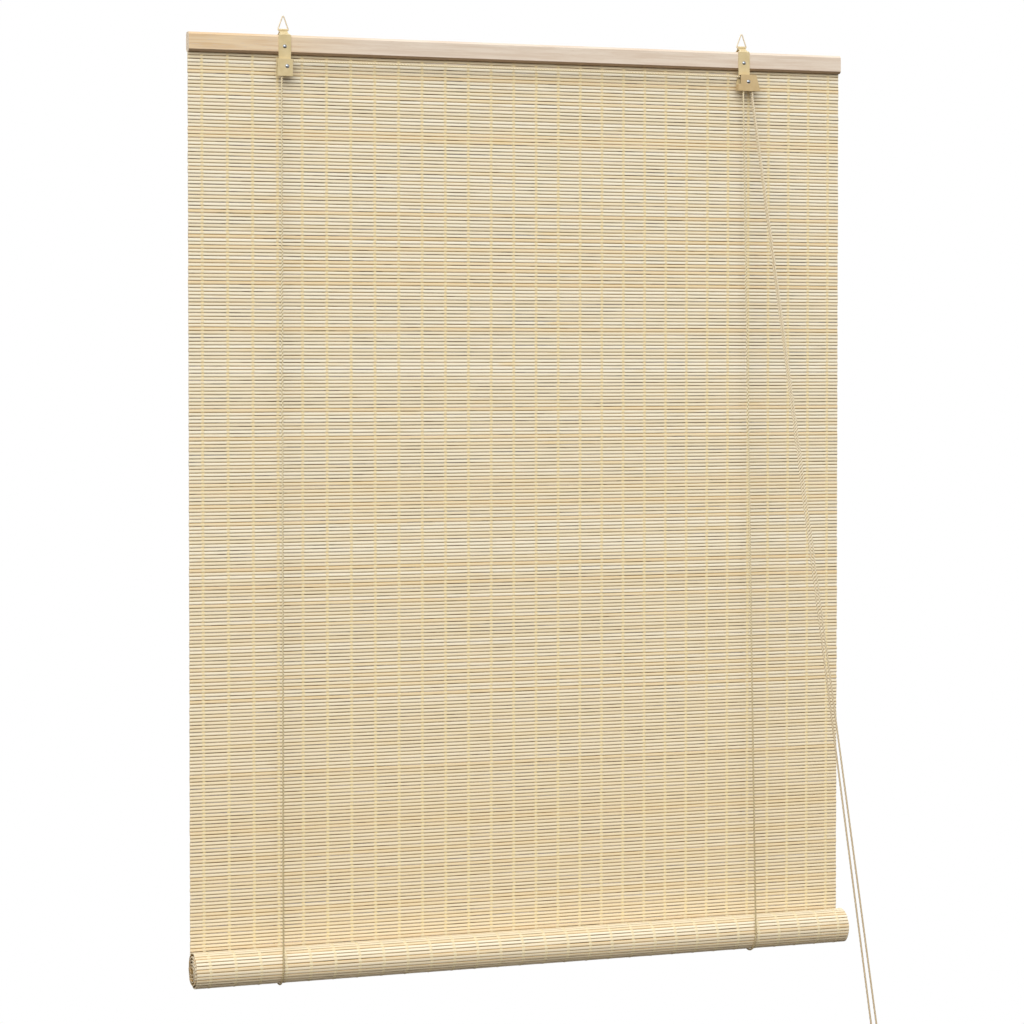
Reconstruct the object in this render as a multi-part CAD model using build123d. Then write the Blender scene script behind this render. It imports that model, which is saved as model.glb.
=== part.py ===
"""Bamboo roll-up blind: a mat of split bamboo slats clamped between two wooden laths, rolled at its foot
and lifted by two cords that run through pulleys on the hanger straps to a cord lock on the right.
X runs along the rail to the right, Y to the back, Z up. The origin lies over the middle of the rail, at the
height where the hooks bear in the two hanging rings. Millimetres."""
import math
import os

from build123d import *

# Mat of slats
mat_width = 1000.0
slat_pitch = 5.0
slat_thickness = 2.0
slat_crest = 2.8
web_thickness = 0.7
mat_top_cover = 2.0
gap_height = 0.5
gap_every = 5
gap_side_margin = 20.0

# Warp threads of the mat
thread_count = 29
thread_first = 20.0
thread_last = 17.5
thread_spacing_loss = 0.15
thread_width = 2.2
thread_proud = 0.35

# Roll at the foot of the mat
roll_radius = 25.6
roll_drop = 1312.4
roll_turn_pitch = 4.6
roll_first_turn_loss = 2.5
roll_core_radius = 5.0
roll_left_overhang = 3.0
roll_tail_angle = 0.25
mat_to_roll_clear = 12.5

# Head rail of two laths
rail_height = 27.0
lath_depth = 8.0
lath_bevel = 3.2
nail_end_margin = 28.0
nail_radius = 0.8
nail_head_radius = 2.0
nail_head_height = 0.6
nail_grip = 5.0
nail_drop = 13.5
nail_count = 5

# Hanger straps and rings
strap_left_inset = 137.4
strap_right_inset = 159.1
strap_width = 18.0
strap_sheet = 1.2
strap_neck_width = 11.6
strap_shoulder_drop = 2.0
strap_shoulder_rise = 2.2
strap_tail = 8.0
curl_rise = 7.2
ring_wire_radius = 0.95
ring_half_base = 7.9
ring_height = 22.0
ring_bend_radius = 1.2
rivet_radius = 1.4
rivet_head_radius = 2.8
rivet_head_height = 1.4
rivet_back_height = 0.9
rivet_drop = 16.4

# Pulleys and their covers
cord_radius = 1.4
pulley_cord_radius = 7.4
pulley_flange_radius = 8.0
pulley_left_offset = 2.2
pulley_right_offset = 3.4
groove_pitch = 3.6
groove_side = 1.9
pin_radius = 1.5
pin_head_radius = 2.9
pin_back_radius = 2.4
cover_sheet = 1.0
cover_top_drop = 34.2
cover_foot_drop = 58.4
cover_cord_clear = 0.6
left_cover_left_reach = 12.0
left_cover_right_reach = 10.4
left_cover_skirt = 9.0
lock_top_left_reach = 8.7
lock_top_right_reach = 15.9
lock_foot_left_reach = 12.5
lock_foot_right_reach = 22.3
lock_step_drop = 48.4
lock_lip = 6.0

# Toothed roller of the lock
roller_radius = 2.6
roller_tooth = 0.5
roller_teeth = 12

# Lift cords and pull cords
sling_gap = 0.5
sling_left_offset = -15.4
sling_right_offset = 3.6
knot_radius = 3.1
knot_length = 5.8
pull_bend_drop = 64.0
cord_seam_drop = 2.0
knot_bend_radius = 3.6
pull_left_reach = 55.1
pull_right_reach = 61.7
pull_lean = 333.3
pull_end_drop = 1424.1

# Clearances
running_clear = 0.05
side_clear = 0.3
body_clear = 0.3
cut_overrun = 2.0

# Places that follow from these sizes
ring_bend_drop = ring_bend_radius / math.sin(math.atan2(ring_half_base, ring_height)) - ring_bend_radius
ring_base_z = ring_wire_radius + ring_bend_drop - ring_height
rail_top = ring_base_z - curl_rise
rail_foot = rail_top - rail_height
mat_half = slat_thickness / 2
lath_face = mat_half + lath_depth
leg_face = lath_face + strap_sheet
roll_axis_y = mat_half - roll_radius
roll_axis_z = rail_top - roll_drop
pulley_z = rail_top - cover_top_drop - cover_sheet - cover_cord_clear - cord_radius - pulley_cord_radius
groove_back_y = -(leg_face + side_clear + groove_side)
groove_front_y = groove_back_y - groove_pitch
left_cover_y = groove_back_y - groove_side - side_clear
lock_cover_y = groove_front_y - groove_side - side_clear
cover_top_z = rail_top - cover_top_drop
cover_foot_z = rail_top - cover_foot_drop
mat_top = rail_top - mat_top_cover
slat_count = math.floor((mat_top - roll_axis_z - mat_to_roll_clear) / slat_pitch)
mat_foot = mat_top - slat_count * slat_pitch
sling_radius = roll_radius + sling_gap + cord_radius
strap_left_x = strap_left_inset - mat_width / 2
strap_right_x = mat_width / 2 - strap_right_inset
pulley_left_x = strap_left_x + pulley_left_offset
pulley_right_x = strap_right_x + pulley_right_offset
left_cover_left = strap_left_x - left_cover_left_reach
left_cover_right = strap_left_x + left_cover_right_reach
lock_top_left = strap_right_x - lock_top_left_reach
lock_top_right = strap_right_x + lock_top_right_reach
lock_foot_left = strap_right_x - lock_foot_left_reach
lock_foot_right = strap_right_x + lock_foot_right_reach
sling_left_x = strap_left_x + sling_left_offset
sling_right_x = strap_right_x + sling_right_offset


def slab_along_x(points, x_start, length):
    """Solid of constant section: (y, z) points, from x_start along +X."""
    outline = Polyline(*[(x_start, y, z) for y, z in points], close=True)
    return extrude(make_face(outline), amount=length, dir=(1, 0, 0))


def slab_along_y(points, y_start, length):
    """Solid of constant section: (x, z) points, from y_start along +Y."""
    outline = Polyline(*[(x, y_start, z) for x, z in points], close=True)
    return extrude(make_face(outline), amount=length, dir=(0, 1, 0))


def rod_along_y(x, z, radius, y_start, y_end):
    """Round rod between two depths."""
    seat = Plane(origin=(x, y_start, z), z_dir=(0, 1, 0))
    return seat * Cylinder(radius, y_end - y_start, align=(Align.CENTER, Align.CENTER, Align.MIN))


def dome(x, y, z, radius, height):
    """Domed rivet head that rises towards the front from the depth y."""
    ball = (radius**2 + height**2) / (2 * height)
    half_way = math.asin(radius / ball) / 2
    crown = (ball * math.sin(half_way), height - ball * (1 - math.cos(half_way)))
    curve = ThreePointArc((radius, 0), crown, (0, height))
    face = make_face([Line((0, 0), (radius, 0)), curve, Line((0, height), (0, 0))])
    seat = Plane(origin=(x, y, z), z_dir=(0, -1, 0))
    return seat * revolve(Plane.XZ * face, Axis.Z)


def knot(place, direction):
    """Overhand knot as a barrel that starts at place and runs along direction."""
    neck_share = 0.6
    belly = ThreePointArc(
        (knot_radius * neck_share, 0), (knot_radius, knot_length / 2), (knot_radius * neck_share, knot_length)
    )
    foot = Line((0, 0), belly @ 0)
    crown = Line(belly @ 1, (0, knot_length))
    face = make_face([foot, belly, crown, Line((0, knot_length), (0, 0))])
    return Plane(origin=place, z_dir=direction) * revolve(Plane.XZ * face, Axis.Z)


def cord_along(path):
    """Cord of the common diameter along a path of runs and arcs."""
    section = Plane(origin=path @ 0, z_dir=path % 0) * Circle(cord_radius)
    return sweep(section, path=path)


def slat_row(half):
    """Section points of the hanging slats on one side, top to bottom: a valley and a flat crest each."""
    points = []
    for index in range(slat_count):
        top = mat_top - index * slat_pitch
        middle = top - slat_pitch / 2
        points.append((half * web_thickness / 2, top))
        points.append((half * mat_half, middle + slat_crest / 2))
        points.append((half * mat_half, middle - slat_crest / 2))
    points.append((half * web_thickness / 2, mat_foot))
    return points


def rail_holes():
    """X and Z of what passes through both laths and the mat, with the radius of its hole."""
    holes = []
    for x in (strap_left_x, strap_right_x):
        holes.append((x, rail_top - rivet_drop, rivet_radius + running_clear))
    nail_spacing = (mat_width - 2 * nail_end_margin) / (nail_count - 1)
    for index in range(nail_count):
        x = nail_end_margin - mat_width / 2 + index * nail_spacing
        holes.append((x, rail_top - nail_drop, nail_radius + running_clear))
    return holes


def make_mat_panel():
    """One wall of slat ridges on both sides, with through gaps between some of the slats."""
    outline = slat_row(-1) + slat_row(1)[::-1]
    wall = slab_along_x(outline, -mat_width / 2, mat_width)
    cuts = []
    for index in range(1, slat_count):
        z = mat_top - index * slat_pitch
        if index % gap_every == 0 and z < rail_foot - slat_pitch:
            cuts.append(Pos(0, 0, z) * Box(mat_width - 2 * gap_side_margin, slat_thickness, gap_height))
    for x, z, radius in rail_holes():
        cuts.append(rod_along_y(x, z, radius, -slat_thickness, slat_thickness))
    return wall - cuts


def thread_places():
    """X of each warp thread; they stand a little closer towards the right."""
    places = []
    x = thread_first - mat_width / 2
    mean_spacing = (mat_width - thread_first - thread_last) / (thread_count - 1)
    first_spacing = mean_spacing + thread_spacing_loss * (thread_count - 2) / 2
    for index in range(thread_count):
        places.append(x)
        x += first_spacing - index * thread_spacing_loss
    return places


def make_mat_threads():
    """A pair of thread runs at each place, one on the front of the slats and one on the back."""
    top = rail_foot - side_clear
    length = top - mat_foot
    strands = []
    for x in thread_places():
        for y in (-mat_half - thread_proud / 2, mat_half + thread_proud / 2):
            strands.append(Pos(x, y, top - length / 2) * Box(thread_width, thread_proud, length))
    return Compound(children=strands)


def make_mat_roll():
    """The wound end of the mat as one spiral of slats: back, under, front, over and inwards."""
    corner = math.sqrt(roll_radius**2 - (slat_crest / 2) ** 2) - mat_half
    first_step = slat_pitch / corner
    start_radius = corner / math.cos(first_step / 2)

    def radius_at(angle):
        turns = (angle + roll_tail_angle) / (2 * math.pi)
        return start_radius - roll_first_turn_loss * min(turns, 1) - roll_turn_pitch * max(turns - 1, 0)

    def on_spiral(angle, offset):
        radius = radius_at(angle) + offset
        return (roll_axis_y + radius * math.cos(angle), roll_axis_z - radius * math.sin(angle))

    outer, inner = [], []
    angle = -roll_tail_angle
    while radius_at(angle) > roll_core_radius:
        step = slat_pitch / radius_at(angle)
        begin = on_spiral(angle, 0)
        end = on_spiral(angle + step, 0)
        span = math.dist(begin, end)
        along = ((end[0] - begin[0]) / span, (end[1] - begin[1]) / span)
        out = (-along[1], along[0])
        middle = ((begin[0] + end[0]) / 2, (begin[1] + end[1]) / 2)
        outer.append(on_spiral(angle, web_thickness / 2))
        inner.append(on_spiral(angle, -web_thickness / 2))
        for reach in (-slat_crest / 2, slat_crest / 2):
            for side, points in ((mat_half, outer), (-mat_half, inner)):
                y = middle[0] + along[0] * reach + out[0] * side
                z = middle[1] + along[1] * reach + out[1] * side
                points.append((y, z))
        angle += step
    outer.append(on_spiral(angle, web_thickness / 2))
    inner.append(on_spiral(angle, -web_thickness / 2))
    length = mat_width + roll_left_overhang
    return slab_along_x(outer + inner[::-1], -mat_width / 2 - roll_left_overhang, length)


def make_lath(side):
    """Lath of the head rail, bevelled along its two outer edges; side is -1 in front and 1 behind."""
    points = [
        (side * mat_half, rail_top),
        (side * (lath_face - lath_bevel), rail_top),
        (side * lath_face, rail_top - lath_bevel),
        (side * lath_face, rail_foot + lath_bevel),
        (side * (lath_face - lath_bevel), rail_foot),
        (side * mat_half, rail_foot),
    ]
    lath = slab_along_x(points, -mat_width / 2, mat_width)
    for x, z, radius in rail_holes():
        is_nail = radius < rivet_radius
        front_reach = -mat_half - nail_grip - side_clear if is_nail else -lath_face - cut_overrun
        lath -= rod_along_y(x, z, radius, front_reach, lath_face + cut_overrun)
    return lath


def make_nails():
    """Wire nails driven from behind, with flat heads on the back lath."""
    nails = []
    for x, z, radius in rail_holes():
        if radius < rivet_radius:
            shank = rod_along_y(x, z, nail_radius, -mat_half - nail_grip, lath_face)
            head = rod_along_y(x, z, nail_head_radius, lath_face, lath_face + nail_head_height)
            nails.append(shank + head)
    return Compound(children=nails)


def make_strap(x, plate_points):
    """Strip folded over the rail: a long front leg that widens into a plate, a curl round the ring's base
    wire, and a short back leg with a hole for the lift cord's knot."""
    slope = (ring_base_z - rail_top) / leg_face
    drop = strap_sheet * math.sqrt(1 + slope**2)
    eave = ring_base_z - drop - slope * lath_face
    curl_radius = ring_wire_radius + running_clear + strap_sheet
    tail_z = rail_foot - strap_tail

    def half_section(side, foot):
        return [
            (side * leg_face, foot),
            (side * leg_face, rail_top),
            (0, ring_base_z),
            (0, ring_base_z - drop),
            (side * lath_face, eave),
            (side * lath_face, foot),
        ]

    left = x - strap_width / 2
    strap = slab_along_x(half_section(-1, cover_top_z), left, strap_width)
    strap += slab_along_x(half_section(1, tail_z), left, strap_width)
    curl_seat = Plane(origin=(left, 0, ring_base_z), z_dir=(1, 0, 0))
    low_end = (Align.CENTER, Align.CENTER, Align.MIN)
    strap += curl_seat * Cylinder(curl_radius, strap_width, align=low_end)
    strap -= curl_seat * Cylinder(ring_wire_radius + running_clear, strap_width, align=low_end)
    shoulder_z = rail_top - strap_shoulder_drop
    neck_z = rail_top + strap_shoulder_rise
    depth = leg_face + cut_overrun
    for side in (-1, 1):
        edge = x + side * strap_width / 2
        neck = x + side * strap_neck_width / 2
        beyond = edge + side * cut_overrun
        top = ring_base_z + curl_radius + cut_overrun
        shoulder = TangentArc((edge, -depth, shoulder_z), (neck, -depth, neck_z), tangent=(0, 0, 1))
        outside = Polyline(
            shoulder @ 1, (neck, -depth, top), (beyond, -depth, top), (beyond, -depth, shoulder_z), shoulder @ 0
        )
        strap -= extrude(make_face([shoulder, outside]), amount=2 * depth, dir=(0, 1, 0))
    strap += slab_along_y(plate_points, -leg_face, strap_sheet)
    strap -= rod_along_y(x, rail_top - rivet_drop, rivet_radius + running_clear, -depth, depth)
    anchor_z = (rail_foot + tail_z) / 2
    strap -= rod_along_y(x, anchor_z, cord_radius + body_clear, 0, depth)
    return strap


def make_ring(x):
    """Triangle of bent wire; its base turns in the strap's curl."""
    corners = [
        (x + ring_half_base, 0, ring_base_z),
        (x, 0, ring_base_z + ring_height),
        (x - ring_half_base, 0, ring_base_z),
    ]
    path = FilletPolyline(*corners, radius=ring_bend_radius, close=True)
    section = Plane(origin=path @ 0, z_dir=path % 0) * Circle(ring_wire_radius)
    return sweep(section, path=path)


def make_rail_rivet(x):
    """Rivet through strap, laths and mat, domed in front and flat behind."""
    z = rail_top - rivet_drop
    rivet = rod_along_y(x, z, rivet_radius, -leg_face, leg_face)
    rivet += dome(x, -leg_face, z, rivet_head_radius, rivet_head_height)
    rivet += rod_along_y(x, z, rivet_head_radius, leg_face, leg_face + rivet_back_height)
    return rivet


def make_pulley_pin(x, cover_y):
    """Rivet that carries a pulley between the strap's plate and the cover."""
    front = cover_y - cover_sheet
    pin = rod_along_y(x, pulley_z, pin_radius, front, -lath_face)
    pin += dome(x, front, pulley_z, pin_head_radius, rivet_head_height)
    pin += rod_along_y(x, pulley_z, pin_back_radius, -lath_face, -lath_face + rivet_back_height)
    return pin


def make_pulley(x, grooves):
    """Turned pulley with one groove for each cord."""
    front = grooves[-1] - groove_side
    pulley = rod_along_y(x, pulley_z, pulley_flange_radius, front, grooves[0] + groove_side)
    pulley -= rod_along_y(x, pulley_z, pin_radius + running_clear, front, grooves[0] + groove_side)
    for y in grooves:
        seat = Plane(origin=(x, y, pulley_z), z_dir=(0, 1, 0))
        pulley -= seat * Torus(pulley_cord_radius, cord_radius + body_clear)
    return pulley


def pin_hole(x):
    """Hole for a pulley pin through cover and plate."""
    return rod_along_y(x, pulley_z, pin_radius + running_clear, lock_cover_y - cut_overrun, 0)


def left_plate_points():
    """Outline of the left strap's pulley plate, behind its cover."""
    return [
        (left_cover_left, cover_foot_z),
        (left_cover_left, cover_top_z),
        (left_cover_right, cover_top_z),
        (left_cover_right, cover_foot_z),
    ]


def make_left_cover():
    """Folded cover of the left pulley: front plate, top flange and a side skirt on the outer edge."""
    depth = -leg_face - left_cover_y
    cover = slab_along_y(left_plate_points(), left_cover_y - cover_sheet, cover_sheet)
    flange_z = cover_top_z - cover_sheet
    flange = [
        (left_cover_left, flange_z),
        (left_cover_left, cover_top_z),
        (left_cover_right, cover_top_z),
        (left_cover_right, flange_z),
    ]
    cover += slab_along_y(flange, left_cover_y, depth)
    skirt = [
        (left_cover_left, cover_top_z - left_cover_skirt),
        (left_cover_left, cover_top_z),
        (left_cover_left + cover_sheet, cover_top_z),
        (left_cover_left + cover_sheet, cover_top_z - left_cover_skirt),
    ]
    cover += slab_along_y(skirt, left_cover_y, depth)
    return cover - pin_hole(pulley_left_x)


def lock_slope():
    """Sideways run of the lock's slanted side for each millimetre down."""
    return (lock_foot_right - lock_top_right) / (cover_top_z - cover_foot_z)


def lock_plate_points():
    """Outline of the right strap's plate, behind the lock."""
    return [
        (lock_foot_left, cover_foot_z),
        (lock_foot_left, rail_top - lock_step_drop),
        (strap_right_x - strap_width / 2, cover_top_z),
        (lock_top_right, cover_top_z),
        (lock_foot_right, cover_foot_z),
    ]


def make_lock_cover():
    """Folded lock cover: a trapezoid front plate with a stepped left edge, a top flange, a slanted right
    flange that the roller climbs, a short left flange and a lip under the roller."""
    depth = -leg_face - lock_cover_y
    step_z = rail_top - lock_step_drop
    front = [
        (lock_foot_left, cover_foot_z),
        (lock_foot_left, step_z),
        (lock_top_left, step_z),
        (lock_top_left, cover_top_z),
        (lock_top_right, cover_top_z),
        (lock_foot_right, cover_foot_z),
    ]
    cover = slab_along_y(front, lock_cover_y - cover_sheet, cover_sheet)
    flange_z = cover_top_z - cover_sheet
    top = [
        (lock_top_left, flange_z),
        (lock_top_left, cover_top_z),
        (lock_top_right, cover_top_z),
        (lock_top_right + lock_slope() * cover_sheet, flange_z),
    ]
    wall = cover_sheet * math.sqrt(1 + lock_slope() ** 2)
    slant = [
        (lock_top_right - wall, cover_top_z),
        (lock_top_right, cover_top_z),
        (lock_foot_right, cover_foot_z),
        (lock_foot_right - wall, cover_foot_z),
    ]
    left = [
        (lock_foot_left, cover_foot_z),
        (lock_foot_left, step_z),
        (lock_foot_left + cover_sheet, step_z),
        (lock_foot_left + cover_sheet, cover_foot_z),
    ]
    lip = [
        (lock_foot_right - wall - lock_lip, cover_foot_z),
        (lock_foot_right - wall - lock_lip, cover_foot_z + cover_sheet),
        (lock_foot_right - wall, cover_foot_z + cover_sheet),
        (lock_foot_right - wall, cover_foot_z),
    ]
    for outline in (top, slant, left, lip):
        cover += slab_along_y(outline, lock_cover_y, depth)
    return cover - pin_hole(pulley_right_x)


def make_lock_roller():
    """Toothed roller that rests on the lip beside the slanted side."""
    wall = cover_sheet * math.sqrt(1 + lock_slope() ** 2)
    z = cover_foot_z + cover_sheet + body_clear + roller_radius
    side_x = lock_foot_right - wall - lock_slope() * (z - cover_foot_z)
    x = side_x - (roller_radius + body_clear) * math.sqrt(1 + lock_slope() ** 2)
    points = []
    for step in range(2 * roller_teeth):
        angle = math.pi * step / roller_teeth
        radius = roller_radius - roller_tooth * (step % 2)
        points.append((x + radius * math.cos(angle), z + radius * math.sin(angle)))
    front = lock_cover_y + side_clear
    return slab_along_y(points, front, -leg_face - side_clear - front)


def make_front_run(pulley_x, groove_y, sling_x):
    """Straight run of a lift cord from the pulley down to the front of the roll."""
    top = (pulley_x - pulley_cord_radius, groove_y, pulley_z - cord_seam_drop)
    foot = (sling_x, roll_axis_y - sling_radius, roll_axis_z + body_clear)
    return cord_along(Line(top, foot))


def make_sling(x):
    """Half turn of a lift cord under the roll, from the back of the mat to the front."""
    return cord_along(
        ThreePointArc(
            (x, roll_axis_y + sling_radius, roll_axis_z),
            (x, roll_axis_y, roll_axis_z - sling_radius),
            (x, roll_axis_y - sling_radius, roll_axis_z),
        )
    )


def make_back_run(strap_x, sling_x):
    """Run of a lift cord behind the mat, through the strap's back leg to its knot."""
    anchor_z = rail_foot - strap_tail / 2
    back_y = roll_axis_y + sling_radius
    corners = [
        (sling_x, back_y, roll_axis_z + body_clear),
        (strap_x, back_y, anchor_z),
        (strap_x, leg_face + cord_radius, anchor_z),
    ]
    run = cord_along(FilletPolyline(*corners, radius=knot_bend_radius))
    return run + knot((strap_x, leg_face, anchor_z), (0, 1, 0))


def make_cross_run():
    """Left lift cord over its pulley, along the rail and over the back groove of the lock pulley."""
    y = groove_back_y
    high = pulley_z + pulley_cord_radius
    left = pulley_left_x - pulley_cord_radius
    right = pulley_right_x + pulley_cord_radius
    corners = [
        (left, y, pulley_z - cord_seam_drop + running_clear),
        (left, y, high),
        (right, y, high),
        (right, y, pulley_z - cord_seam_drop),
    ]
    return cord_along(FilletPolyline(*corners, radius=pulley_cord_radius))


def make_lock_turn():
    """Right lift cord over the front groove of the lock pulley."""
    y = groove_front_y
    left = pulley_right_x - pulley_cord_radius
    right = pulley_right_x + pulley_cord_radius
    low = pulley_z - cord_seam_drop
    rise = Line((left, y, low + running_clear), (left, y, pulley_z))
    over = ThreePointArc(rise @ 1, (pulley_right_x, y, pulley_z + pulley_cord_radius), (right, y, pulley_z))
    return cord_along(Wire([rise, over, Line(over @ 1, (right, y, low))]))


def make_pull_cord(groove_y, reach):
    """Free end of a lift cord: down out of the lock, then taut to the knot at its end."""
    x = pulley_right_x + pulley_cord_radius
    low = pulley_z - cord_seam_drop - running_clear
    bend = Vector(x, groove_y, rail_top - pull_bend_drop)
    start = Vector(x, groove_y, low)
    end = Vector(strap_right_x + reach, groove_y - pull_lean, rail_top - pull_end_drop)
    stretch = end - bend
    turn = math.radians((bend - start).get_angle(stretch))
    bend_share = 0.45
    radius = bend_share * (bend - start).length / math.tan(turn / 2)
    cord = cord_along(FilletPolyline(start, bend, end, radius=radius))
    return cord + knot(end, stretch)


nodes = {
    "front_lath": make_lath(-1),
    "back_lath": make_lath(1),
    "lath_nails": make_nails(),
    "mat_panel": make_mat_panel(),
    "mat_threads": make_mat_threads(),
    "mat_roll": make_mat_roll(),
    "strap_left": make_strap(strap_left_x, left_plate_points()) - pin_hole(pulley_left_x),
    "strap_right": make_strap(strap_right_x, lock_plate_points()) - pin_hole(pulley_right_x),
    "ring_left": make_ring(strap_left_x),
    "ring_right": make_ring(strap_right_x),
    "rail_rivet_left": make_rail_rivet(strap_left_x),
    "rail_rivet_right": make_rail_rivet(strap_right_x),
    "pulley_cover_left": make_left_cover(),
    "lock_cover_right": make_lock_cover(),
    "pulley_left": make_pulley(pulley_left_x, [groove_back_y]),
    "pulley_right": make_pulley(pulley_right_x, [groove_back_y, groove_front_y]),
    "pulley_pin_left": make_pulley_pin(pulley_left_x, left_cover_y),
    "pulley_pin_right": make_pulley_pin(pulley_right_x, lock_cover_y),
    "lock_roller": make_lock_roller(),
    "cord_left_front": make_front_run(pulley_left_x, groove_back_y, sling_left_x),
    "cord_right_front": make_front_run(pulley_right_x, groove_front_y, sling_right_x),
    "cord_left_sling": make_sling(sling_left_x),
    "cord_right_sling": make_sling(sling_right_x),
    "cord_left_back": make_back_run(strap_left_x, sling_left_x),
    "cord_right_back": make_back_run(strap_right_x, sling_right_x),
    "cord_cross": make_cross_run(),
    "cord_lock_turn": make_lock_turn(),
    "pull_cord_left": make_pull_cord(groove_back_y, pull_left_reach),
    "pull_cord_right": make_pull_cord(groove_front_y, pull_right_reach),
}

os.makedirs("parts", exist_ok=True)
for name, shape in nodes.items():
    export_step(shape, f"parts/{name}.step")
    print(name, round(shape.volume, 1))
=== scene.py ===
import math
import random

import bpy
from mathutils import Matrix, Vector


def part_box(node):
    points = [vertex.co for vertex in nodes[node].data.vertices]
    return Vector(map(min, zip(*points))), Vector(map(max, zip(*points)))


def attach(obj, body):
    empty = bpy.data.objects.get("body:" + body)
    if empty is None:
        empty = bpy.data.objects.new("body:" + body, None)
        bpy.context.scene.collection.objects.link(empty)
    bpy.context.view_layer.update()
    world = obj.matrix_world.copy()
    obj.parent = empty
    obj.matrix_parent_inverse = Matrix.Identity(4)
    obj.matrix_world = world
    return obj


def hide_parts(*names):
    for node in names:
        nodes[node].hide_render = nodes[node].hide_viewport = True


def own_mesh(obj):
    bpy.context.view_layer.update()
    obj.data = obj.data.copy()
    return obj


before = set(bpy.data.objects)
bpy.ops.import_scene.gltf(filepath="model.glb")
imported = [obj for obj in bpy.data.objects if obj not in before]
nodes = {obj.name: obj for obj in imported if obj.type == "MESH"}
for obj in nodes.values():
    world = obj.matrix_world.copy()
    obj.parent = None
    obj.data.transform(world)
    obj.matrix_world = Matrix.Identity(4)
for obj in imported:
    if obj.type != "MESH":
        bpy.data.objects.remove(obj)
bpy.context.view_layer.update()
scene = bpy.context.scene
mm = 0.001


# Head rail: two planed laths of pale wood, bevelled along their outer edges, with the top of the mat between
# them. Wire nails driven from behind hold the three together. The wood is left bare and matt.
def place(tree, kind, inputs=None, **settings):
    """Adds a shader node; an input is a value or the output of another node."""
    node = tree.nodes.new(kind)
    for key, value in settings.items():
        setattr(node, key, value)
    for key, value in (inputs or {}).items():
        if isinstance(value, bpy.types.NodeSocket):
            tree.links.new(value, node.inputs[key])
        else:
            node.inputs[key].default_value = value
    return node


def new_finish(name, **constants):
    """Material with one shader; constants are set on the shader's own sockets."""
    material = bpy.data.materials.new(name)
    material.use_nodes = True
    tree = material.node_tree
    shader = tree.nodes["Principled BSDF"]
    for key, value in constants.items():
        shader.inputs[key.replace("_", " ")].default_value = value
    return material, tree, shader


def blend_colours(tree, share, first, second):
    """Colour between two others by a share."""
    mix = place(tree, "ShaderNodeMix", {0: share}, data_type="RGBA")
    for socket, colour in ((mix.inputs[6], first), (mix.inputs[7], second)):
        if isinstance(colour, bpy.types.NodeSocket):
            tree.links.new(colour, socket)
        else:
            socket.default_value = (*colour, 1)
    return mix.outputs[2]


def between(tree, value, low, high):
    """Smooth share of a value between two limits."""
    limits = {"Value": value, "From Min": low, "From Max": high}
    return place(tree, "ShaderNodeMapRange", limits, interpolation_type="SMOOTHSTEP").outputs["Result"]


def add_bump(tree, shader, height, distance, strength=1.0):
    """Relief of a surface from a height that changes over it."""
    settings = {"Height": height, "Distance": distance, "Strength": strength}
    bump = place(tree, "ShaderNodeBump", settings)
    tree.links.new(bump.outputs["Normal"], shader.inputs["Normal"])


def make_long_grain():
    """Streaks and fibres that run along X, as in planed wood and split bamboo."""
    group = bpy.data.node_groups.new("long_grain", "ShaderNodeTree")
    for name, kind in (("Place", "NodeSocketVector"), ("Fineness", "NodeSocketFloat")):
        group.interface.new_socket(name, in_out="INPUT", socket_type=kind)
    for name in ("Streak", "Fibre"):
        group.interface.new_socket(name, in_out="OUTPUT", socket_type="NodeSocketFloat")
    entry = group.nodes.new("NodeGroupInput")
    leave = group.nodes.new("NodeGroupOutput")
    streak_length = (0.05, 1.0, 1.0)
    stretch = place(
        group, "ShaderNodeVectorMath", {0: entry.outputs["Place"], 1: streak_length}, operation="MULTIPLY"
    )
    for name, ratio, detail in (("Streak", 1.0, 4.0), ("Fibre", 5.0, 2.0)):
        scale = product(group, entry.outputs["Fineness"], ratio)
        noise = place(
            group, "ShaderNodeTexNoise", {"Vector": stretch.outputs[0], "Scale": scale, "Detail": detail}
        )
        group.links.new(noise.outputs["Fac"], leave.inputs[name])
    return group


def place_group(tree, group, inputs):
    """Puts a shared effect into a material with its own values."""
    return place(tree, "ShaderNodeGroup", inputs, node_tree=group)


def own_place(tree):
    """Place on the piece, in metres in the common frame."""
    return place(tree, "ShaderNodeTexCoord").outputs["Object"]


def facing_way(tree):
    """Direction in which the surface faces, in its three parts."""
    normal = place(tree, "ShaderNodeNewGeometry").outputs["Normal"]
    return place(tree, "ShaderNodeSeparateXYZ", {0: normal})


def product(tree, first, second):
    """Product of two values."""
    return place(tree, "ShaderNodeMath", {0: first, 1: second}, operation="MULTIPLY").outputs[0]


def dress(material, *names):
    """Gives a material to pieces that come from the frame."""
    for name in names:
        nodes[name].data.materials.clear()
        nodes[name].data.materials.append(material)


long_grain = make_long_grain()

lath_pale = (0.77, 0.665, 0.555)
lath_shade = (0.685, 0.56, 0.445)
lath_warm = (0.775, 0.605, 0.395)
lath_warm_shade = (0.685, 0.49, 0.29)
# painted shade for the downward-facing lower bevel
lath_bevel_shade = (0.42, 0.29, 0.185)
lath_end = (0.84, 0.70, 0.54)
lath_grain_fineness = 260.0
lath_warm_stretch = (-0.20, -0.46)
lath_finish, tree, shader = new_finish("planed_lath", Roughness=0.62, Specular_IOR_Level=0.3)
spot = own_place(tree)
grain = place_group(tree, long_grain, {"Place": spot, "Fineness": lath_grain_fineness})
along = place(tree, "ShaderNodeSeparateXYZ", {0: spot})
streak = between(tree, grain.outputs["Streak"], 0.35, 0.7)
wood = blend_colours(tree, streak, lath_pale, lath_shade)
warm_wood = blend_colours(tree, streak, lath_warm, lath_warm_shade)
warmth = between(tree, along.outputs["X"], *lath_warm_stretch)
wood = blend_colours(tree, warmth, wood, warm_wood)
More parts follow.
